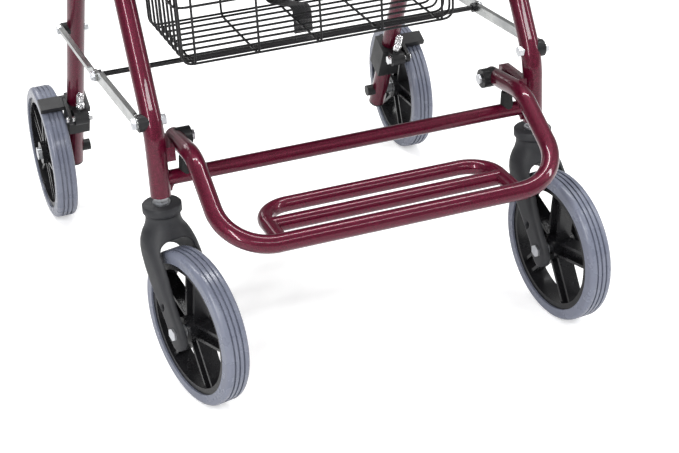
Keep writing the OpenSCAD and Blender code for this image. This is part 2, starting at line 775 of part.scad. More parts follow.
module arm_tube() difference() {
    union() {
        bar([leg_x, arm_hinge[0], arm_hinge[1]], [leg_x, arm_front, arm_hinge[1]], rail_r, rail_r - wall);
        bar_x(leg_x - leg_r, leg_x + leg_r, arm_hinge, 8);
    }
    bar_x(leg_x - 20, leg_x + 20, arm_hinge, bolt_r + run);
}
module arm_pad() difference() {
    translate([leg_x + arm_pad_out, arm_front - 6 + arm_pad_l / 2, arm_hinge[1]])
        linear_extrude(height = rail_r + arm_pad_t) round_rect(arm_pad_w, arm_pad_l, 18);
    bar([leg_x, 0, arm_hinge[1]], [leg_x, 250, arm_hinge[1]], rail_r);
    translate([leg_x - 40, -50, arm_hinge[1] - 1]) cube([80, 400, rail_r - 2]);
}
module arm_tube_L() color(burgundy) place() mirror([1, 0, 0]) arm_tube();
module arm_tube_R() color(burgundy) place() arm_tube();
module arm_pad_L() color(vinyl) place() mirror([1, 0, 0]) arm_pad();
module arm_pad_R() color(vinyl) place() arm_pad();

back_corner = back_pivot + back_dir * back_len;
module back_hoop() color(burgundy) place() difference() {
    tail = back_pivot - back_dir * 9;
    bent([yz(-back_x, tail), yz(-back_x, back_corner), yz(back_x, back_corner), yz(back_x, tail)],
         [0, back_bend_r, back_bend_r, 0], back_r, back_r - wall);
    for (s = sides) bar_x(s * (back_x - back_d), s * (back_x + back_d), back_pivot, bolt_r + 1 + run);
}

module back_pad() color(vinyl) place() translate(yz(0, back_corner)) rotate([back_angle - 90, 0, 0]) difference() {
    rotate([90, 0, 0]) linear_extrude(height = back_pad_t, center = true)
        round_rect(back_pad_w, back_pad_h, 30);
    rotate([0, 90, 0]) cylinder(h = 2 * leg_x, r = back_r, center = true);
}

// ----------------------------------------------------------------- handles

module handle() {
    top = on_leg(grip_z);
    bent([yz(leg_x, on_leg(post_in)), yz(leg_x, top), [leg_x, grip_y0 + grip_l - 2, grip_z]],
         [0, post_bend_r, 0], post_r, post_r - wall);
}
module elbow_room() path([yz(leg_x, on_leg(post_in)), yz(leg_x, on_leg(grip_z)), [leg_x, grip_y0, grip_z]],
                         [0, post_bend_r, 0], post_r + run, 0);
module grip() {
    difference() {
        union() {
            bar([leg_x, grip_y0, grip_z], [leg_x, grip_y0 + grip_l, grip_z], grip_d / 2);
            translate([leg_x, grip_y0, grip_z]) rotate([-90, 0, 0]) cylinder(h = 6, r = grip_d / 2 + 4);
            // Lever housing
            bar([leg_x, grip_y0 - 24, grip_z], [leg_x, grip_y0 - 1, grip_z], post_r + 4);
            translate([leg_x - lever_x + 5, grip_y0 - 24, lever_pivot[1] - 8])
                cube([2 * lever_x - 10, 23, grip_z - lever_pivot[1] + 8]);
        }
        bar([leg_x, grip_y0 - 30, grip_z], [leg_x, grip_y0 + grip_l - 2, grip_z], post_r + run);
        elbow_room();
        bar_x(leg_x - 30, leg_x + 30, lever_pivot, bolt_r - 1 + run);
    }
}
module handle_L() color(burgundy) place() mirror([1, 0, 0]) handle();
module handle_R() color(burgundy) place() handle();
module grip_L() color(rubber_black) place() mirror([1, 0, 0]) grip();
module grip_R() color(rubber_black) place() grip();

module brake_lever() {
    far = lever_pivot + [lever_len, -lever_drop + 8];
    bent([yz(leg_x - lever_x, lever_pivot), yz(leg_x - lever_x, far), yz(leg_x + lever_x, far),
          yz(leg_x + lever_x, lever_pivot)], [0, 14, 14, 0], 4);
    for (s = sides) bar_x(leg_x + s * lever_x - 4, leg_x + s * lever_x + 4, lever_pivot, 6);
    bar_x(leg_x - lever_x, leg_x + lever_x, lever_pivot, bolt_r - 1);
}
module brake_lever_L() color(black) place() mirror([1, 0, 0]) brake_lever();
module brake_lever_R() color(black) place() brake_lever();

front_leg_L();
front_leg_R();
cross_tube();
seat_frame();
hinge_brackets();
frame_bolts();
brace_spacers();
bumpers();
footrest_brackets();
handle_knobs();
arm_brackets();
rear_leg_L();
rear_leg_R();
rear_cross_tube();
brake_clamps();
brake_adjusters();
rear_axles();
rear_plugs();
rear_brace_bolts();
rear_tyre_L();
rear_rim_L();
rear_tyre_R();
rear_rim_R();
fork_L();
fork_R();
caster_axle_L();
caster_axle_R();
caster_tyre_L();
caster_rim_L();
caster_tyre_R();
caster_rim_R();
brake_arm_L();
brake_arm_R();
brace_front_L();
brace_front_R();
cross_rod();
strap_loop();
brace_rear_L();
brace_rear_R();
footrest_hoop();
footrest_rack();
footrest_caps();
seat_board();
seat_cushion();
basket();
basket_hooks();
strap();
arm_tube_L();
arm_pad_L();
arm_tube_R();
arm_pad_R();
back_hoop();
back_pad();
handle_L();
grip_L();
handle_R();
grip_R();
brake_lever_L();
brake_lever_R();
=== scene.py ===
"""Looks of a four-wheeled rollator and transport chair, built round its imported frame."""
import json
import math

import bmesh
import bpy
from mathutils import Matrix, Vector


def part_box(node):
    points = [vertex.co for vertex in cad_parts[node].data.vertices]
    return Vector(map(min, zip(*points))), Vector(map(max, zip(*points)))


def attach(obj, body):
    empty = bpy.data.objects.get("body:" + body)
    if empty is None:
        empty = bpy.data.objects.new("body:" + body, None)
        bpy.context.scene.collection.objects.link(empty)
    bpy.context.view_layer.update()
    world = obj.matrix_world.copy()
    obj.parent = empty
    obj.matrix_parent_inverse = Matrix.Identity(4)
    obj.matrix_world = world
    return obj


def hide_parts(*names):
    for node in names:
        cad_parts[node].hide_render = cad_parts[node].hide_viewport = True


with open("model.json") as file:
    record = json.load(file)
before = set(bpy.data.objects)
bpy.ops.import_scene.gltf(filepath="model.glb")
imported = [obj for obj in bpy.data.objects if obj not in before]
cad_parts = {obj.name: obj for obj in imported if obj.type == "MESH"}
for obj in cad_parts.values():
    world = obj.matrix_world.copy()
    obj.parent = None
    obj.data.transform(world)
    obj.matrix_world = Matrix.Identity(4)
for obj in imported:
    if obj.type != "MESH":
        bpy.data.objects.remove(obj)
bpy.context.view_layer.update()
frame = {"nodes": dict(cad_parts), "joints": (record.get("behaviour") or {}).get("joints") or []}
MM = 0.001
QUARTER_TURN = math.pi / 2
JOINTS = {joint["name"]: joint for joint in frame["joints"]}
SIDES = (("L", -1), ("R", 1))
# Sockets of the mix node in its colour mode
MIX_FACTOR, MIX_PLAIN, MIX_MARKED, MIX_COLOUR = 0, 6, 7, 2


# ---------------------------------------------------------------- node tools

def link(tree, source, target):
    tree.links.new(source, target)


def feed(tree, value, socket):
    """Links the socket if the value is a node's output, and sets it otherwise."""
    if isinstance(value, bpy.types.NodeSocket):
        link(tree, value, socket)
    else:
        socket.default_value = value


def number(tree, operation, first, second=0.0, third=None):
    node = tree.nodes.new("ShaderNodeMath")
    node.operation = operation
    for socket, value in zip(node.inputs, (first, second, third)):
        if value is not None:
            feed(tree, value, socket)
    return node.outputs[0]


def spread(tree, value, low, high, to_low=0.0, to_high=1.0):
    node = tree.nodes.new("ShaderNodeMapRange")
    link(tree, value, node.inputs["Value"])
    node.inputs["From Min"].default_value = low
    node.inputs["From Max"].default_value = high
    node.inputs["To Min"].default_value = to_low
    node.inputs["To Max"].default_value = to_high
    return node.outputs["Result"]


def place_on_piece(tree, stretch=(1, 1, 1)):
    coords = tree.nodes.new("ShaderNodeTexCoord")
    mapping = tree.nodes.new("ShaderNodeMapping")
    mapping.inputs["Scale"].default_value = stretch
    link(tree, coords.outputs["Object"], mapping.inputs["Vector"])
    return mapping.outputs["Vector"]


def noise(tree, vector, scale, detail=3.0, roughness=0.55):
    node = tree.nodes.new("ShaderNodeTexNoise")
    link(tree, vector, node.inputs["Vector"])
    feed(tree, scale, node.inputs["Scale"])
    node.inputs["Detail"].default_value = detail
    node.inputs["Roughness"].default_value = roughness
    return node


def cells(tree, vector, scale, feature="F1"):
    node = tree.nodes.new("ShaderNodeTexVoronoi")
    node.feature = feature
    link(tree, vector, node.inputs["Vector"])
    feed(tree, scale, node.inputs["Scale"])
    return node


def tint(tree, mask, plain, marked):
    """Goes from the plain colour, which may be a node's output, to the marked one."""
    node = tree.nodes.new("ShaderNodeMix")
    node.data_type = "RGBA"
    if not isinstance(plain, bpy.types.NodeSocket):
        plain = (*plain, 1.0)
    feed(tree, plain, node.inputs[MIX_PLAIN])
    node.inputs[MIX_MARKED].default_value = (*marked, 1.0)
    link(tree, mask, node.inputs[MIX_FACTOR])
    return node.outputs[MIX_COLOUR]


def roughen(tree, shader, mask, low, high):
    """Roughness that goes from low to high with the mask."""
    link(tree, spread(tree, mask, 0.0, 1.0, low, high), shader.inputs["Roughness"])


def bump(tree, shader, height, strength, depth):
    node = tree.nodes.new("ShaderNodeBump")
    node.inputs["Strength"].default_value = strength
    node.inputs["Distance"].default_value = depth
    link(tree, height, node.inputs["Height"])
    link(tree, node.outputs["Normal"], shader.inputs["Normal"])


# --------------------------------------------------------------- node groups

def new_group(name, inputs, outputs):
    group = bpy.data.node_groups.new(name, "ShaderNodeTree")
    for in_out, labels in (("INPUT", inputs), ("OUTPUT", outputs)):
        for label in labels:
            group.interface.new_socket(label, in_out=in_out, socket_type="NodeSocketFloat")
    return group, group.nodes.new("NodeGroupInput"), group.nodes.new("NodeGroupOutput")


def make_handling_marks():
    """Soft patches where hands and cloths have changed the sheen, with fine dust in them."""
    group, given, out = new_group("Handling marks", ["Size", "Amount"], ["Mask", "Dust"])
    where = place_on_piece(group)
    patches = noise(group, where, given.outputs["Size"], detail=5.0, roughness=0.6)
    soft = spread(group, patches.outputs["Fac"], low=0.38, high=0.66)
    mask = number(group, "MULTIPLY", soft, given.outputs["Amount"])
    link(group, mask, out.inputs["Mask"])
    specks = noise(group, where, 900.0, detail=2.0, roughness=0.7)
    fine = spread(group, specks.outputs["Fac"], low=0.62, high=0.74)
    link(group, number(group, "MULTIPLY", fine, mask), out.inputs["Dust"])
    return group


def make_moulded_grain():
    """Fine spark-eroded texture of moulded plastic and powder coat."""
    group, given, out = new_group("Moulded grain", ["Size"], ["Height"])
    where = place_on_piece(group)
    pebbles = cells(group, where, given.outputs["Size"])
    pits = noise(group, where, number(group, "MULTIPLY", given.outputs["Size"], 0.6))
    mixed = number(group, "ADD", pebbles.outputs["Distance"], pits.outputs["Fac"])
    link(group, mixed, out.inputs["Height"])
    return group


def make_metal_flake():
    """Flakes in the lacquer, each with a sparkle and a height of its own."""
    group, given, out = new_group("Metal flake", ["Size"], ["Sparkle", "Height"])
    flakes = cells(group, place_on_piece(group), given.outputs["Size"])
    split = group.nodes.new("ShaderNodeSeparateColor")
    link(group, flakes.outputs["Color"], split.inputs["Color"])
    link(group, spread(group, split.outputs["Red"], low=0.55, high=1.0), out.inputs["Sparkle"])
    link(group, split.outputs["Green"], out.inputs["Height"])
    return group


def make_vinyl_grain():
    """Pebbled hide pattern of upholstery vinyl, over broad soft folds; its valley mask is for
    painted shade between the pebbles.
    """
    group, given, out = new_group("Vinyl grain", ["Size"], ["Height", "Valley shade"])
    where = place_on_piece(group)
    wander = noise(group, where, 160.0, detail=2.0)
    bend = group.nodes.new("ShaderNodeVectorMath")
    bend.operation = "MULTIPLY_ADD"
    link(group, wander.outputs["Color"], bend.inputs[0])
    bend.inputs[1].default_value = (0.0025, 0.0025, 0.0025)
    link(group, where, bend.inputs[2])
    hide = cells(group, bend.outputs["Vector"], given.outputs["Size"], "DISTANCE_TO_EDGE")
    rounded = spread(group, hide.outputs["Distance"], low=0.0, high=0.28)
    # Painted shade: a mask that is 1 in the valleys at the pebbles' edges, where the vinyl is
    # darkened.
    valley_shade = spread(group, hide.outputs["Distance"], 0.0, 0.1, to_low=1.0, to_high=0.0)
    folds = noise(group, where, 9.0, detail=4.0, roughness=0.65)
    height = number(group, "MULTIPLY_ADD", folds.outputs["Fac"], 1.6, rounded)
    link(group, height, out.inputs["Height"])
    link(group, valley_shade, out.inputs["Valley shade"])
    return group


def make_drawn_metal():
    """Long fine lines left by drawing and rolling, and duller patches of plating."""
    group, given, out = new_group("Drawn metal", ["Size"], ["Lines", "Patches"])
    along = place_on_piece(group, stretch=(1.0, 0.04, 1.0))
    lines = noise(group, along, given.outputs["Size"], detail=4.0, roughness=0.7)
    link(group, spread(group, lines.outputs["Fac"], low=0.3, high=0.7), out.inputs["Lines"])
    patches = noise(group, place_on_piece(group), 22.0, detail=4.0, roughness=0.6)
    dull = spread(group, patches.outputs["Fac"], low=0.35, high=0.65)
    link(group, dull, out.inputs["Patches"])
    return group


def make_webbing_weave():
    """Herringbone of flat yarns that runs along the webbing's own map; its gap mask is for
    painted shade between the yarns.
    """
    group, given, out = new_group("Webbing weave", ["Yarns"], ["Height", "Gap shade"])
    coords = group.nodes.new("ShaderNodeTexCoord")
    split = group.nodes.new("ShaderNodeSeparateXYZ")
    link(group, coords.outputs["UV"], split.inputs["Vector"])
    across = number(group, "MULTIPLY", split.outputs["X"], given.outputs["Yarns"])
    along = number(group, "MULTIPLY", split.outputs["Y"], given.outputs["Yarns"])
    lean = number(group, "ADD", along, number(group, "PINGPONG", across, 1.0))
    ribs = number(group, "SINE", number(group, "MULTIPLY", lean, 2 * math.pi))
    yarns = number(group, "SINE", number(group, "MULTIPLY", across, 2 * math.pi))
    both = number(group, "MULTIPLY_ADD", yarns, 0.5, ribs)
    link(group, both, out.inputs["Height"])
    # Painted shade: a mask that is 1 where the weave is lowest, between the yarns.
    link(group, spread(group, both, -1.2, -0.4, to_low=1.0, to_high=0.0), out.inputs["Gap shade"])
    return group


HANDLING = make_handling_marks()
GRAIN = make_moulded_grain()
FLAKE = make_metal_flake()
HIDE = make_vinyl_grain()
DRAWN = make_drawn_metal()
WEAVE = make_webbing_weave()


# ----------------------------------------------------------------- materials

def use(tree, group, **values):
    node = tree.nodes.new("ShaderNodeGroup")
    node.node_tree = group
    for label, value in values.items():
        node.inputs[label].default_value = value
    return node.outputs


def start_material(name, roughness, metallic=0.0, **sockets):
    material = bpy.data.materials.new(name)
    material.use_nodes = True
    tree = material.node_tree
    shader = tree.nodes["Principled BSDF"]
    shader.inputs["Roughness"].default_value = roughness
    shader.inputs["Metallic"].default_value = metallic
    for label, value in sockets.items():
        shader.inputs[label.replace("_", " ")].default_value = value
    return material, tree, shader


def burgundy_lacquer():
    material, tree, shader = start_material(
        "burgundy_lacquer", 0.38, 0.35, Coat_Weight=1.0, Coat_Roughness=0.02, Coat_IOR=1.34,
        Specular_IOR_Level=0.18)
    flake = use(tree, FLAKE, Size=2400.0)
    marks = use(tree, HANDLING, Size=9.0, Amount=0.8)
    shade = tint(tree, flake["Sparkle"], (0.054, 0.0005, 0.0095), (0.2, 0.006, 0.04))
    shade = tint(tree, marks["Dust"], shade, (0.22, 0.07, 0.09))
    link(tree, shade, shader.inputs["Base Color"])
    roughen(tree, shader, marks["Mask"], 0.32, 0.46)
    bump(tree, shader, flake["Height"], strength=0.1, depth=0.05 * MM)
    return material


def moulded_plastic(name, colour, roughness, grain_size, depth):
    material, tree, shader = start_material(name, roughness, Specular_IOR_Level=0.32)
    marks = use(tree, HANDLING, Size=16.0, Amount=0.9)
    grain = use(tree, GRAIN, Size=grain_size)
    worn = tuple(c * 1.6 + 0.002 for c in colour)
    shade = tint(tree, marks["Mask"], colour, worn)
    shade = tint(tree, marks["Dust"], shade, (0.07, 0.068, 0.066))
    link(tree, shade, shader.inputs["Base Color"])
    roughen(tree, shader, marks["Mask"], roughness - 0.06, roughness + 0.1)
    bump(tree, shader, grain["Height"], strength=0.35, depth=depth)
    return material


def plated_steel(name, colour, roughness, patch_colour):
    material, tree, shader = start_material(name, roughness, 1.0)
    drawn = use(tree, DRAWN, Size=300.0)
    marks = use(tree, HANDLING, Size=40.0, Amount=0.7)
    shade = tint(tree, drawn["Patches"], colour, patch_colour)
    shade = tint(tree, marks["Dust"], shade, (0.35, 0.33, 0.3))
    link(tree, shade, shader.inputs["Base Color"])
    roughen(tree, shader, drawn["Lines"], roughness - 0.05, roughness + 0.12)
    bump(tree, shader, drawn["Lines"], strength=0.18, depth=0.08 * MM)
    return material


def tyre_compound():
    """Blue-grey rubber with paler, duller patches and a little dust."""
    material, tree, shader = start_material("tyre_compound", 0.38)
    marks = use(tree, HANDLING, Size=30.0, Amount=1.0)
    grain = use(tree, GRAIN, Size=900.0)
    shade = tint(tree, marks["Mask"], (0.15, 0.163, 0.215), (0.168, 0.182, 0.236))
    shade = tint(tree, marks["Dust"], shade, (0.27, 0.27, 0.28))
    link(tree, shade, shader.inputs["Base Color"])
    roughen(tree, shader, marks["Mask"], 0.24, 0.32)
    bump(tree, shader, grain["Height"], strength=0.15, depth=0.06 * MM)
    return material


def upholstery_vinyl():
    material, tree, shader = start_material("upholstery_vinyl", 0.4, Sheen_Weight=0.08)
    hide = use(tree, HIDE, Size=430.0)
    marks = use(tree, HANDLING, Size=7.0, Amount=1.0)
    # Painted shade: the vinyl is darker in the valleys between the pebbles of its grain.
    shade = tint(tree, hide["Valley shade"], (0.017, 0.017, 0.019), (0.007, 0.007, 0.008))
    shade = tint(tree, marks["Dust"], shade, (0.1, 0.1, 0.1))
    link(tree, shade, shader.inputs["Base Color"])
    roughen(tree, shader, marks["Mask"], 0.34, 0.5)
    bump(tree, shader, hide["Height"], strength=0.45, depth=0.35 * MM)
    return material


def woven_webbing():
    material, tree, shader = start_material("woven_webbing", 0.85, Sheen_Weight=0.3)
    weave = use(tree, WEAVE, Yarns=12.0)
    marks = use(tree, HANDLING, Size=30.0, Amount=0.8)
    # Painted shade: the webbing is darker in the low gaps between its yarns.
    shade = tint(tree, weave["Gap shade"], (0.022, 0.022, 0.024), (0.006, 0.006, 0.007))
    shade = tint(tree, marks["Dust"], shade, (0.12, 0.12, 0.12))
    link(tree, shade, shader.inputs["Base Color"])
    bump(tree, shader, weave["Height"], strength=0.7, depth=0.4 * MM)
    return material


def glow_for_camera(tree, for_light, for_camera):
    """Strength that the camera sees brighter than the light which falls on the object."""
    ray = tree.nodes.new("ShaderNodeLightPath")
    return spread(tree, ray.outputs["Is Camera Ray"], 0.0, 1.0, for_light, for_camera)


def studio_floor():
    material, tree, shader = start_material("studio_floor", 0.7)
    marks = use(tree, HANDLING, Size=1.2, Amount=0.5)
    shade = tint(tree, marks["Mask"], (0.93, 0.93, 0.93), (0.9, 0.9, 0.905))
    link(tree, shade, shader.inputs["Base Color"])
    shader.inputs["Emission Color"].default_value = (1.0, 1.0, 1.0, 1.0)
    link(tree, glow_for_camera(tree, 0.0, 0.42), shader.inputs["Emission Strength"])
    return material


LACQUER = burgundy_lacquer()
# Colour, roughness, grains per metre and grain depth
BLACK_PLASTIC = moulded_plastic("black_plastic", (0.009, 0.009, 0.01), 0.42, 1500.0, 0.12 * MM)
FORK_PLASTIC = moulded_plastic("fork_plastic", (0.017, 0.0175, 0.02), 0.48, 1100.0, 0.2 * MM)
RIM_PLASTIC = moulded_plastic("rim_plastic", (0.007, 0.007, 0.008), 0.26, 1900.0, 0.06 * MM)
POWDER_COAT = moulded_plastic("powder_coat", (0.009, 0.009, 0.01), 0.34, 2600.0, 0.05 * MM)
SOFT_RUBBER = moulded_plastic("soft_rubber", (0.01, 0.01, 0.01), 0.68, 1300.0, 0.1 * MM)
# Colour, roughness and colour of the dull patches
ZINC = plated_steel("zinc_plate", (0.66, 0.67, 0.69), 0.3, (0.5, 0.52, 0.55))
BRACE_ZINC = plated_steel("brace_zinc", (0.5, 0.51, 0.5), 0.27, (0.34, 0.35, 0.35))
BRIGHT_STEEL = plated_steel("bright_steel", (0.8, 0.8, 0.81), 0.16, (0.66, 0.67, 0.68))
TYRE = tyre_compound()
VINYL = upholstery_vinyl()
WEBBING = woven_webbing()

FINISHES = {
    LACQUER: ["front_leg_L", "front_leg_R", "cross_tube", "seat_frame", "footrest_brackets",
              "rear_leg_L", "rear_leg_R", "rear_cross_tube", "footrest_hoop", "footrest_rack",
              "arm_tube_L", "arm_tube_R", "back_hoop", "handle_L", "handle_R"],
    BLACK_PLASTIC: ["hinge_brackets", "brace_spacers", "handle_knobs", "arm_brackets",
                    "brake_clamps", "rear_plugs", "footrest_caps", "seat_board"],
    FORK_PLASTIC: ["fork_L", "fork_R"],
    RIM_PLASTIC: ["rear_rim_L", "rear_rim_R", "caster_rim_L", "caster_rim_R"],
    POWDER_COAT: ["cross_rod", "brake_arm_L", "brake_arm_R", "brake_lever_L", "brake_lever_R",
                  "basket", "basket_hooks"],
    ZINC: ["frame_bolts", "rear_axles", "rear_brace_bolts", "caster_axle_L", "caster_axle_R"],
    BRIGHT_STEEL: ["brake_adjusters"],
    BRACE_ZINC: ["brace_front_L", "brace_front_R", "brace_rear_L", "brace_rear_R"],
    TYRE: ["rear_tyre_L", "rear_tyre_R", "caster_tyre_L", "caster_tyre_R"],
    SOFT_RUBBER: ["bumpers", "grip_L", "grip_R"],
    VINYL: ["seat_cushion", "arm_pad_L", "arm_pad_R", "back_pad"],
    WEBBING: ["strap_loop", "strap"],
}
for finish, names in FINISHES.items():
    for name in names:
        part = frame["nodes"][name]
        part.data.materials.clear()
        part.data.materials.append(finish)


# --------------------------------------------------------------- mesh tools

def turn_mesh(bm, angle, axis):
    bmesh.ops.rotate(bm, cent=(0, 0, 0), matrix=Matrix.Rotation(angle, 3, axis), verts=bm.verts)


def shift_mesh(bm, offset):
    bmesh.ops.translate(bm, vec=offset, verts=bm.verts)


def add_block(bm, size):
    bmesh.ops.create_cube(bm, size=1.0)
    bmesh.ops.scale(bm, vec=size, verts=bm.verts)


def add_cone(bm, base, top, depth, segments):
    """Capped cone along Z, or a cylinder where both radii agree; gives its vertices."""
    return bmesh.ops.create_cone(bm, cap_ends=True, segments=segments, radius1=base,
                                 radius2=top, depth=depth)["verts"]


def rises(edge):
    """Height difference between the edge's ends."""
    return abs(edge.verts[0].co.z - edge.verts[1].co.z)


def round_edges(bm, edges, radius, segments):
    bmesh.ops.bevel(bm, geom=edges, offset=radius, segments=segments, profile=0.5,
                    affect="EDGES", material=-1)


def round_rims(bm, radius, segments):
    """Rounds the edges that lie level."""
    round_edges(bm, [e for e in bm.edges if rises(e) < 1e-6], radius, segments)


def relax(bm, rounds):
    for _ in range(rounds):
        bmesh.ops.smooth_vert(bm, verts=bm.verts, factor=0.5, use_axis_x=True,
                              use_axis_y=True, use_axis_z=True)


def spin_profile(bm, profile, axis, steps, weld):
    """Turns (radius, place along the axis) pairs in millimetres once round the axis."""
    ring = [bm.verts.new(Vector((r * MM, 0, 0)) + Vector(axis) * (t * MM)) for r, t in profile]
    edges = [bm.edges.new(pair) for pair in zip(ring, ring[1:])]
    bmesh.ops.spin(bm, geom=ring + edges, cent=(0, 0, 0), axis=axis, angle=2 * math.pi,
                   steps=steps, use_merge=True, use_duplicate=False)
    bmesh.ops.remove_doubles(bm, verts=bm.verts, dist=weld)


def apply_modifiers(piece):
    graph = bpy.context.evaluated_depsgraph_get()
    mesh = bpy.data.meshes.new_from_object(piece.evaluated_get(graph))
    piece.modifiers.clear()
    piece.data = mesh


def remesh(piece, voxel):
    """Even mesh over the whole piece, with the given voxel size."""
    grid = piece.modifiers.new("remesh", "REMESH")
    grid.mode = "VOXEL"
    grid.voxel_size = voxel
    apply_modifiers(piece)


# -------------------------------------------------------------- piece makers

def finish_piece(piece, material, body):
    piece.data.materials.append(material)
    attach(piece, body)
    return piece


def piece_from(name, bm, smooth=True):
    mesh = bpy.data.meshes.new(name)
    bmesh.ops.recalc_face_normals(bm, faces=bm.faces)
    bm.to_mesh(mesh)
    bm.free()
    for face in mesh.polygons:
        face.use_smooth = smooth
    piece = bpy.data.objects.new(name, mesh)
    bpy.context.scene.collection.objects.link(piece)
    return piece


def rounded_path(points, bend, steps=6):
    """The points, with a curve at each inner corner that starts one bend before it."""
    points = [Vector(p) for p in points]
    path = [points[0]]
    for before, corner, after in zip(points, points[1:], points[2:]):
        into, away = (corner - before), (after - corner)
        reach = min(bend, into.length * 0.49, away.length * 0.49)
        start = corner - into.normalized() * reach
        end = corner + away.normalized() * reach
        for step in range(steps + 1):
            t = step / steps
            path.append(start * (1 - t) ** 2 + corner * 2 * t * (1 - t) + end * t ** 2)
    path.append(points[-1])
    return path


def rounded_loop(low, high, height, corner, steps=6):
    """Corner-rounded rectangle at one height, as a closed run."""
    points = []
    for cx, cy, start in ((high.x - corner, high.y - corner, 0),
                          (low.x + corner, high.y - corner, 90),
                          (low.x + corner, low.y + corner, 180),
                          (high.x - corner, low.y + corner, 270)):
        for step in range(steps + 1):
            angle = math.radians(start + step * 90 / steps)
            points.append(Vector((cx + corner * math.cos(angle),
                                  cy + corner * math.sin(angle), height)))
    return points


def bent_wires(name, runs, radius, material, body, closed=False, sides=3):
    """Round wires, one spline for each run of points."""
    curve = bpy.data.curves.new(name, "CURVE")
    curve.dimensions = "3D"
    curve.bevel_depth = radius
    curve.bevel_resolution = sides
    curve.use_fill_caps = True
    for run in runs:
        spline = curve.splines.new("POLY")
        spline.points.add(len(run) - 1)
        for point, place in zip(spline.points, run):
            point.co = (*place, 1.0)
        spline.use_cyclic_u = closed
        spline.use_smooth = True
    piece = bpy.data.objects.new(name, curve)
    bpy.context.scene.collection.objects.link(piece)
    return finish_piece(piece, material, body)


# -------------------------------------------------------------- wire basket

# Radii of the basket's wires
WIRE, RIM, HANGER = 1.6 * MM, 2.4 * MM, 2 * MM
CROSS_PITCH = 19.7 * MM
LENGTHWISE_AT = (-166.7 * MM, -83.3 * MM, 0.0, 83.3 * MM, 166.7 * MM)
BELT_HEIGHT = 80 * MM
BASKET_CORNER = 14 * MM


def basket_part(name, runs, radius, closed=False):
    return bent_wires(name, runs, radius, POWDER_COAT, "basket_unit", closed)


def cross_wire_places(first, last):
    """Places along Y: a close pair at the front, even steps, and one at the back."""
    places = [first + 3 * MM, first + 3 * MM + 11 * MM]
    while places[-1] + CROSS_PITCH < last - 8 * MM:
        places.append(places[-1] + CROSS_PITCH)
    return places + [last - 3 * MM]


def wire_basket():
    low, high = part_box("basket")
    inner_low = Vector((low.x + RIM, low.y + RIM, low.z))
    inner_high = Vector((high.x - RIM, high.y - RIM, high.z))
    rim_z = high.z - RIM
    floor_z = low.z + WIRE
    runs = []
    x = high.x - RIM - 2 * WIRE
    foot_x, foot_z = x - 2 * MM, floor_z + 2 * WIRE
    for y in cross_wire_places(inner_low.y, inner_high.y):
        runs.append(rounded_path([(-x, y, rim_z), (-foot_x, y, foot_z),
                                  (foot_x, y, foot_z), (x, y, rim_z)], bend=14 * MM))
    front, back = inner_low.y + WIRE, inner_high.y - WIRE
    for x in LENGTHWISE_AT:
        runs.append(rounded_path([(x, front, rim_z), (x, front, floor_z),
                                  (x, back, floor_z), (x, back, rim_z)], bend=12 * MM))
    wires = basket_part("basket_wires", runs, WIRE)
    inset = Vector((WIRE, WIRE, 0)) * 0.4
    belt = rounded_loop(inner_low + inset, inner_high - inset, low.z + BELT_HEIGHT,
                        BASKET_CORNER)
    basket_part("basket_belt", [belt], WIRE, closed=True)
    top = rounded_loop(inner_low, inner_high, rim_z, BASKET_CORNER)
    basket_part("basket_rim", [top], RIM, closed=True)
    hook_low, hook_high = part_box("basket_hooks")
    over_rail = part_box("seat_frame")[1].z + 2.4 * MM
    hooks = []
    for y in (hook_low.y + 2.5 * MM, hook_high.y - 2.5 * MM):
        for _, sign in SIDES:
            x = sign * (high.x + 1.7 * MM)
            hook_x = sign * (hook_high.x - 0.5 * MM)
            hooks.append(rounded_path([(x, y, low.z + 78 * MM), (x, y, over_rail),
                                       (hook_x, y, over_rail)], bend=9 * MM))
    basket_part("basket_hangers", hooks, HANGER)
    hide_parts("basket", "basket_hooks")


wire_basket()


# ------------------------------------------------------------------ webbing

def webbing(name, path, width, thick, body):
    """Flat woven strap along a path, as wide as given along X, with a map along it."""
    bm = bmesh.new()
    half = Vector((1, 0, 0)) * width / 2
    uv = bm.loops.layers.uv.new("weave")
    rows, lengths = [], [0.0]
    for i, place in enumerate(path):
        rows.append([bm.verts.new(place + half * k) for k in (-1, 0, 1)])
        if i:
            lengths.append(lengths[-1] + (place - path[i - 1]).length)
    for i in range(len(rows) - 1):
        for k in range(2):
            corners = ((k, i), (k + 1, i), (k + 1, i + 1), (k, i + 1))
            face = bm.faces.new([rows[v][u] for u, v in corners])
            for loop, (u, v) in zip(face.loops, corners):
                loop[uv].uv = (u / 2, lengths[v] / width)
    piece = piece_from(name, bm)
    wall = piece.modifiers.new("thickness", "SOLIDIFY")
    wall.thickness = thick
    wall.offset = 0
    finish_piece(piece, WEBBING, body)
    return piece, lengths[-1]


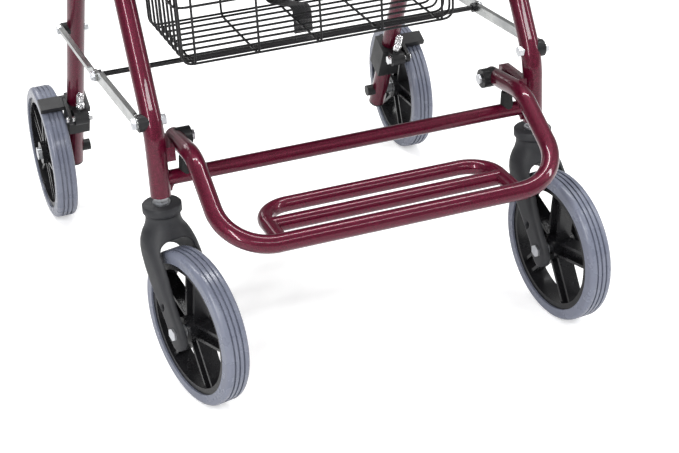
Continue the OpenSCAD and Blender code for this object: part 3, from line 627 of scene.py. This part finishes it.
def lift_strap():
    """Strap that hangs from the cross rod, lies on the basket's floor and goes up its back."""
    low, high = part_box("strap")
    ring_low, ring_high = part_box("strap_loop")
    ring = (ring_low + ring_high) / 2
    width = high.x - low.x
    x = (low.x + high.x) / 2
    lie = low.z + 3.5 * MM
    drop_y = (ring_low.y + ring_high.y) / 2 + 3 * MM
    points = [(x, drop_y, ring_high.z + 1.5 * MM),
              (x, drop_y + 1 * MM, lie - 4 * MM),
              (x - 1 * MM, drop_y + 7 * MM, lie + 2.5 * MM),
              (x - 14 * MM, drop_y + 26 * MM, lie + 2 * MM),
              (x - 26 * MM, high.y - 4 * MM, lie + 4 * MM),
              (x - 28 * MM, high.y - 1.5 * MM, lie + 30 * MM),
              (x - 29 * MM, high.y - 2 * MM, high.z)]
    route = rounded_path(points, bend=8 * MM, steps=5)
    piece, length = webbing("lift_strap", route, width, 1.6 * MM, "basket_unit")
    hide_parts("strap")
    radius = (ring_high.z - ring_low.z) / 2 - 0.8 * MM
    turn = [Vector((x, ring.y + radius * math.sin(math.radians(a)),
                    ring.z + radius * math.cos(math.radians(a)))) for a in range(8, 353, 12)]
    loop, length = webbing("strap_turn", turn, width, 1.5 * MM, "brace_front")
    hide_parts("strap_loop")


lift_strap()


# ----------------------------------------------------------------- cushions

PRESSURE = 4.0
SIMULATED_FRAMES = 20


def slab(name, low, high, corner, soften):
    """Closed upholstered block with round corners in plan, ready to be stuffed."""
    bm = bmesh.new()
    add_block(bm, high - low)
    round_edges(bm, [e for e in bm.edges if rises(e) > 1e-6], corner, segments=6)
    round_rims(bm, soften, segments=3)
    shift_mesh(bm, (high + low) / 2)
    return piece_from(name, bm)


def blow_up(piece, cap, box):
    """Blows the piece up as cloth; no vertex moves past the cap, or out of the box."""
    rest = [v.co.copy() for v in piece.data.vertices]
    cloth = piece.modifiers.new("cloth", "CLOTH")
    cloth.settings.effector_weights.gravity = 0
    cloth.settings.use_pressure = True
    cloth.settings.uniform_pressure_force = PRESSURE
    cloth.settings.quality = 4
    cloth.point_cache.frame_start = 1
    cloth.point_cache.frame_end = SIMULATED_FRAMES
    for step in range(1, SIMULATED_FRAMES + 1):
        bpy.context.scene.frame_set(step)
    graph = bpy.context.evaluated_depsgraph_get()
    blown = [v.co.copy() for v in piece.evaluated_get(graph).data.vertices]
    piece.modifiers.clear()
    bpy.context.scene.frame_set(1)
    low, high = box
    for vertex, home, place in zip(piece.data.vertices, rest, blown):
        move = place - home
        if move.length > cap:
            move = move * (cap / move.length)
        vertex.co = Vector(max(l, min(h, c)) for l, h, c in zip(low, high, home + move))


def stuff(piece, voxel, cap, box):
    """Foam under a cover, held within its cap and its box."""
    bpy.context.view_layer.objects.active = piece
    remesh(piece, voxel)
    blow_up(piece, cap, box)
    bm = bmesh.new()
    bm.from_mesh(piece.data)
    relax(bm, rounds=2)
    bm.to_mesh(piece.data)
    bm.free()
    for face in piece.data.polygons:
        face.use_smooth = True
    smooth = piece.modifiers.new("smooth", "SUBSURF")
    smooth.levels = 1
    smooth.render_levels = 1


def cushion(name, node, body, corner, shrink, voxel, cap, crown):
    """Swells to its solid's sides; only the top may stand proud, and the base stays flat."""
    low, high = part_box(node)
    start_low = low + Vector((shrink, shrink, 0.5 * MM))
    start_high = high - Vector((shrink, shrink, shrink * 0.5))
    piece = slab(name, start_low, start_high, corner, soften=7 * MM)
    room = (low + Vector((0, 0, 0.4 * MM)), high + Vector((0, 0, crown)))
    stuff(piece, voxel, cap, room)
    finish_piece(piece, VINYL, body)
    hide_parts(node)


def seat_piping():
    """Raised piping round the seat, where its cover is sewn."""
    low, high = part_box("seat_cushion")
    inset = Vector((0.2, 0.2, 0)) * MM
    ring = rounded_loop(low + inset, high - inset, low.z + 4 * MM, corner=24 * MM)
    bent_wires("seat_piping", [ring], 1.8 * MM, VINYL, "seat", closed=True)


def back_cushion():
    """Stuffed lying flat, then leant back by its tilt."""
    low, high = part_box("back_pad")
    tilt = math.radians(35)
    height, thick = 128 * MM, 30 * MM
    corner = Vector((low.x + 4 * MM, -height / 2, -thick / 2 + 3 * MM))
    piece = slab("back_padding", corner, -corner, corner=28 * MM, soften=9 * MM)
    room = (Vector((low.x, -65 * MM, -17 * MM)), Vector((high.x, 65 * MM, 17 * MM)))
    stuff(piece, voxel=5 * MM, cap=9 * MM, box=room)
    centre = (low + high) / 2
    piece.data.transform(Matrix.Translation(centre) @ Matrix.Rotation(tilt, 4, "X"))
    finish_piece(piece, VINYL, "backrest")
    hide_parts("back_pad")


cushion("seat_padding", "seat_cushion", "seat", corner=26 * MM, shrink=5 * MM, voxel=6 * MM,
        cap=10 * MM, crown=6 * MM)
seat_piping()
back_cushion()
for side, _ in SIDES:
    cushion(f"arm_padding_{side}", f"arm_pad_{side}", f"armrest_{side}", corner=17 * MM,
            shrink=2.5 * MM, voxel=4 * MM, cap=5 * MM, crown=2 * MM)


# -------------------------------------------------------------------- grips

GRIP_LENGTH = 122
RIB_PITCH = 5.6


def grip_profile():
    """Radius and place of each ring, from the thumb flange over the ribs to the round end."""
    profile = [(11.2, 0), (20, 0), (20.4, 2), (20, 5), (16.5, 7)]
    at = 10.0
    while at < 110:
        profile += [(15.0, at), (15.9, at + 1.2), (15.9, at + 3.4), (15.0, at + 4.6)]
        at += RIB_PITCH
    return profile + [(15.6, 116), (15.2, 119), (13.5, 121.2), (9, GRIP_LENGTH),
                      (0.01, GRIP_LENGTH)]


def ribbed_grip(side):
    """Soft handlebar grip, and the perch that holds the brake lever in front of it."""
    node = f"grip_{side}"
    low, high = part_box(node)
    x = (low.x + high.x) / 2
    front = high.y - GRIP_LENGTH * MM
    bm = bmesh.new()
    spin_profile(bm, grip_profile(), axis=(0, 1, 0), steps=48, weld=0.02 * MM)
    shift_mesh(bm, (x, front, high.z - 20 * MM))
    piece = piece_from(f"ribbed_grip_{side}", bm)
    finish_piece(piece, SOFT_RUBBER, f"handle_unit_{side}")
    bm = bmesh.new()
    add_block(bm, (27 * MM, 22 * MM, 46 * MM))
    round_edges(bm, bm.edges, 5 * MM, segments=4)
    shift_mesh(bm, (x, front - 12.5 * MM, low.z + 24 * MM))
    perch = piece_from(f"lever_perch_{side}", bm)
    finish_piece(perch, BLACK_PLASTIC, f"handle_unit_{side}")
    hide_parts(node)


for side, _ in SIDES:
    ribbed_grip(side)


# -------------------------------------------------------------------- forks

# Height, middle along Y, half width across X and along Y, and squareness of each section
FORK_SECTIONS = [(236, 0, 21.5, 21.5, 2.0), (226, 0, 21.8, 21.8, 2.0),
                 (219, -0.5, 23.8, 23, 2.1), (212, -1.5, 28.5, 25, 2.2),
                 (204, -3.5, 32, 27, 2.4), (195, -7, 33.8, 28.5, 2.7),
                 (184, -12, 34.2, 29, 3.2), (170, -19, 34, 28, 4.0),
                 (152, -28, 33.8, 25, 5.0), (136, -38, 33.6, 22.5, 5.5),
                 (120, -48, 33.5, 20.5, 6.0), (108, -55.5, 33.4, 20, 6.0),
                 (98, -60, 33.3, 19.5, 6.0), (89, -61, 33.2, 18, 6.0),
                 (82.5, -61, 33, 14.5, 5.0), (78.5, -61, 32.8, 9.5, 5.0),
                 (76.8, -61, 32.5, 5, 4.0)]
# Radius and height round the lipped cap over the neck
FORK_CAP = [(0.01, 246), (23.3, 246), (24.4, 244.8), (24.4, 236.2), (23.4, 235), (22.2, 235),
            (22.2, 232.6), (21.4, 232.4), (20.5, 231), (0.01, 231)]
CLEARED_RADIUS = 111 * MM
WHEEL_TRAIL, WHEEL_HEIGHT = 60 * MM, 100 * MM
SLOT_RADIUS = 3.4 * MM


def fork_outside():
    """Neck, shoulders and both arms as one lofted body, before the tyre's room is cut."""
    bm = bmesh.new()
    ring = bmesh.ops.create_circle(bm, cap_ends=False, radius=1.0, segments=48)["verts"]
    angle_of = {v: math.atan2(v.co.y, v.co.x) for v in ring}
    edges = bm.edges[:]
    for index, (height, middle, half_x, half_y, square) in enumerate(FORK_SECTIONS):
        if index:
            places = {v.co.copy().freeze(): a for v, a in angle_of.items()}
            made = bmesh.ops.extrude_edge_only(bm, edges=edges)["geom"]
            fresh = [g for g in made if isinstance(g, bmesh.types.BMVert)]
            angle_of = {v: places[v.co.copy().freeze()] for v in fresh}
            edges = [g for g in made if isinstance(g, bmesh.types.BMEdge)
                     and all(v in angle_of for v in g.verts)]
        for vert, angle in angle_of.items():
            c, s = math.cos(angle), math.sin(angle)
            x = math.copysign(abs(c) ** (2 / square), c) * half_x
            y = math.copysign(abs(s) ** (2 / square), s) * half_y
            vert.co = Vector((x, middle + y, height)) * MM
    bmesh.ops.holes_fill(bm, edges=bm.edges, sides=0)
    return piece_from("fork_outside", bm)


def tyre_room(bm):
    """Round-edged disc: the opening between the arms is an arch that clears the tyre."""
    add_cone(bm, CLEARED_RADIUS, CLEARED_RADIUS, 48 * MM, segments=96)
    round_rims(bm, 15 * MM, segments=6)
    turn_mesh(bm, QUARTER_TURN, "Y")
    shift_mesh(bm, (0, -WHEEL_TRAIL, WHEEL_HEIGHT))


def oval_slots(bm):
    """Oval hole through the rear edge of both arms."""
    add_cone(bm, SLOT_RADIUS, SLOT_RADIUS, 90 * MM, segments=32)
    turn_mesh(bm, QUARTER_TURN, "Y")
    bmesh.ops.scale(bm, vec=(1, 1, 2.0), verts=bm.verts)
    turn_mesh(bm, math.radians(30), "X")
    shift_mesh(bm, (0, -37 * MM, 127 * MM))


def cut_away(body, name, make):
    bm = bmesh.new()
    make(bm)
    tool = piece_from(name, bm, smooth=False)
    cut = body.modifiers.new(name, "BOOLEAN")
    cut.operation = "DIFFERENCE"
    cut.object = tool
    apply_modifiers(body)
    bpy.data.objects.remove(tool)


def moulded_fork(side):
    """One moulding: capped neck, shoulders over the tyre, and arms with an oval slot."""
    body = fork_outside()
    cut_away(body, "tyre_room", tyre_room)
    cut_away(body, "oval_slots", oval_slots)
    remesh(body, 1.6 * MM)
    bm = bmesh.new()
    bm.from_mesh(body.data)
    bpy.data.objects.remove(body)
    relax(bm, rounds=3)
    spin_profile(bm, FORK_CAP, axis=(0, 0, 1), steps=56, weld=0.015 * MM)
    roll = JOINTS[f"caster_roll_{side}"]["axis"]
    stem = JOINTS[f"caster_swivel_{side}"]["pos_m"]
    turn = Matrix.Rotation(math.atan2(roll[1], roll[0]), 4, "Z")
    place = Matrix.Translation((stem[0], stem[1], 0))
    bmesh.ops.transform(bm, matrix=place @ turn, verts=bm.verts)
    piece = piece_from(f"moulded_fork_{side}", bm)
    finish_piece(piece, FORK_PLASTIC, f"caster_{side}")
    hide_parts(f"fork_{side}")


for side, _ in SIDES:
    moulded_fork(side)


# ------------------------------------------------------------ small details

COIL_RADIUS, COIL_WIRE = 4.6 * MM, 0.7 * MM
STEPS_A_TURN, COIL_TURNS = 20, 7
RISE_A_STEP = 0.11 * MM


def return_springs():
    """Coil springs over the cable adjusters, which pull the brake shoes off the tyres."""
    for side, _ in SIDES:
        pivot = Vector(JOINTS[f"brake_turn_{side}"]["pos_m"])
        low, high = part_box(f"rear_leg_{side}")
        up = Vector((0, low.y - high.y, high.z - low.z)).normalized()
        across = Vector((1, 0, 0))
        outward = up.cross(across)
        foot = Vector(((low.x + high.x) / 2, pivot.y + 4 * MM, pivot.z + 10 * MM))
        foot = foot + up * 20 * MM
        coil = []
        for step in range(STEPS_A_TURN * COIL_TURNS + 1):
            angle = step * 2 * math.pi / STEPS_A_TURN
            spoke = across * math.cos(angle) + outward * math.sin(angle)
            coil.append(foot + up * (step * RISE_A_STEP) + spoke * COIL_RADIUS)
        bent_wires(f"return_spring_{side}", [coil], COIL_WIRE, BRIGHT_STEEL, "rear_frame",
                   sides=2)


def rubber_stops():
    """Moulded studs on the cross tube, on which the footrest's arms come to rest."""
    low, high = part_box("bumpers")
    for side, sign in SIDES:
        bm = bmesh.new()
        add_cone(bm, 9 * MM, 7 * MM, high.z - low.z, segments=40)
        round_rims(bm, 1.5 * MM, segments=4)
        middle = (low + high) / 2
        shift_mesh(bm, Vector((sign * (high.x - 10 * MM), middle.y, middle.z)))
        stud = piece_from(f"footrest_stop_{side}", bm)
        finish_piece(stud, SOFT_RUBBER, "front_frame")
        if side == "R":
            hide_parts("bumpers")


def brace_joint_bolts():
    """Hexagon heads on washers, over the middle joint of each side brace."""
    low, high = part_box("cross_rod")
    pivot = (low + high) / 2
    plate_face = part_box("brace_rear_R")[0].x + 2.1 * MM
    for side, sign in SIDES:
        bm = bmesh.new()
        add_cone(bm, 8 * MM, 8 * MM, 1.2 * MM, segments=32)
        shift_mesh(bm, (0, 0, 0.6 * MM))
        head = add_cone(bm, 6.6 * MM, 6.2 * MM, 4 * MM, segments=6)
        bmesh.ops.translate(bm, vec=(0, 0, 3.2 * MM), verts=head)
        turn_mesh(bm, sign * QUARTER_TURN, "Y")
        shift_mesh(bm, (sign * plate_face, pivot.y, pivot.z))
        piece = piece_from(f"brace_joint_bolt_{side}", bm, smooth=False)
        finish_piece(piece, ZINC, "brace_rear")


return_springs()
rubber_stops()
brace_joint_bolts()


# ------------------------------------------------------------ studio, camera

FLOOR_HALF_WIDTH = 14.0
LIGHTS_AIM = Vector((0, 0, 0.35))
# Place, width, height and power of each area light
LIGHTS = {"key": ((-1.9, -2.2, 1.9), 0.24, 2.4, 62),
          "fill": ((2.6, -1.3, 1.8), 0.22, 2.2, 34),
          "top": ((0.1, 0.4, 3.2), 3.4, 0.24, 74),
          "front": ((0.2, -3.2, 2.6), 2.6, 0.2, 30),
          "back": ((-0.8, 3.0, 2.2), 1.6, 1.6, 26)}
LENS_MM, SENSOR_MM = 90.99, 36.0
CAMERA_PLACE = (-0.6668, -2.08545, 1.1474)
CAMERA_RIGHT = (0.93444, -0.35253, -0.05041)
CAMERA_UP = (0.20111, 0.40559, 0.89165)
CAMERA_BACK = (-0.29389, -0.84334, 0.4499)


def studio():
    bm = bmesh.new()
    bmesh.ops.create_grid(bm, x_segments=1, y_segments=1, size=FLOOR_HALF_WIDTH)
    floor = piece_from("floor", bm, smooth=False)
    floor.data.materials.append(studio_floor())
    world = bpy.data.worlds.new("studio")
    world.use_nodes = True
    tree = world.node_tree
    sky = tree.nodes["Background"]
    sky.inputs["Color"].default_value = (1.0, 1.0, 1.0, 1.0)
    link(tree, glow_for_camera(tree, 0.36, 1.0), sky.inputs["Strength"])
    bpy.context.scene.world = world
    for name, (place, width, height, power) in LIGHTS.items():
        lamp = bpy.data.lights.new(name, "AREA")
        lamp.shape = "RECTANGLE"
        lamp.size = width
        lamp.size_y = height
        lamp.energy = power
        holder = bpy.data.objects.new(name, lamp)
        holder.location = place
        aim = LIGHTS_AIM - Vector(place)
        holder.rotation_euler = aim.to_track_quat("-Z", "Y").to_euler()
        bpy.context.scene.collection.objects.link(holder)


def camera():
    lens = bpy.data.cameras.new("camera")
    lens.sensor_width = SENSOR_MM
    lens.lens = LENS_MM
    lens.clip_start = 0.1
    lens.clip_end = 60
    holder = bpy.data.objects.new("camera", lens)
    turn = Matrix((CAMERA_RIGHT, CAMERA_UP, CAMERA_BACK)).transposed().to_4x4()
    holder.matrix_world = Matrix.Translation(CAMERA_PLACE) @ turn
    bpy.context.scene.collection.objects.link(holder)
    bpy.context.scene.camera = holder


studio()
camera()
bpy.context.scene.view_settings.view_transform = "Standard"
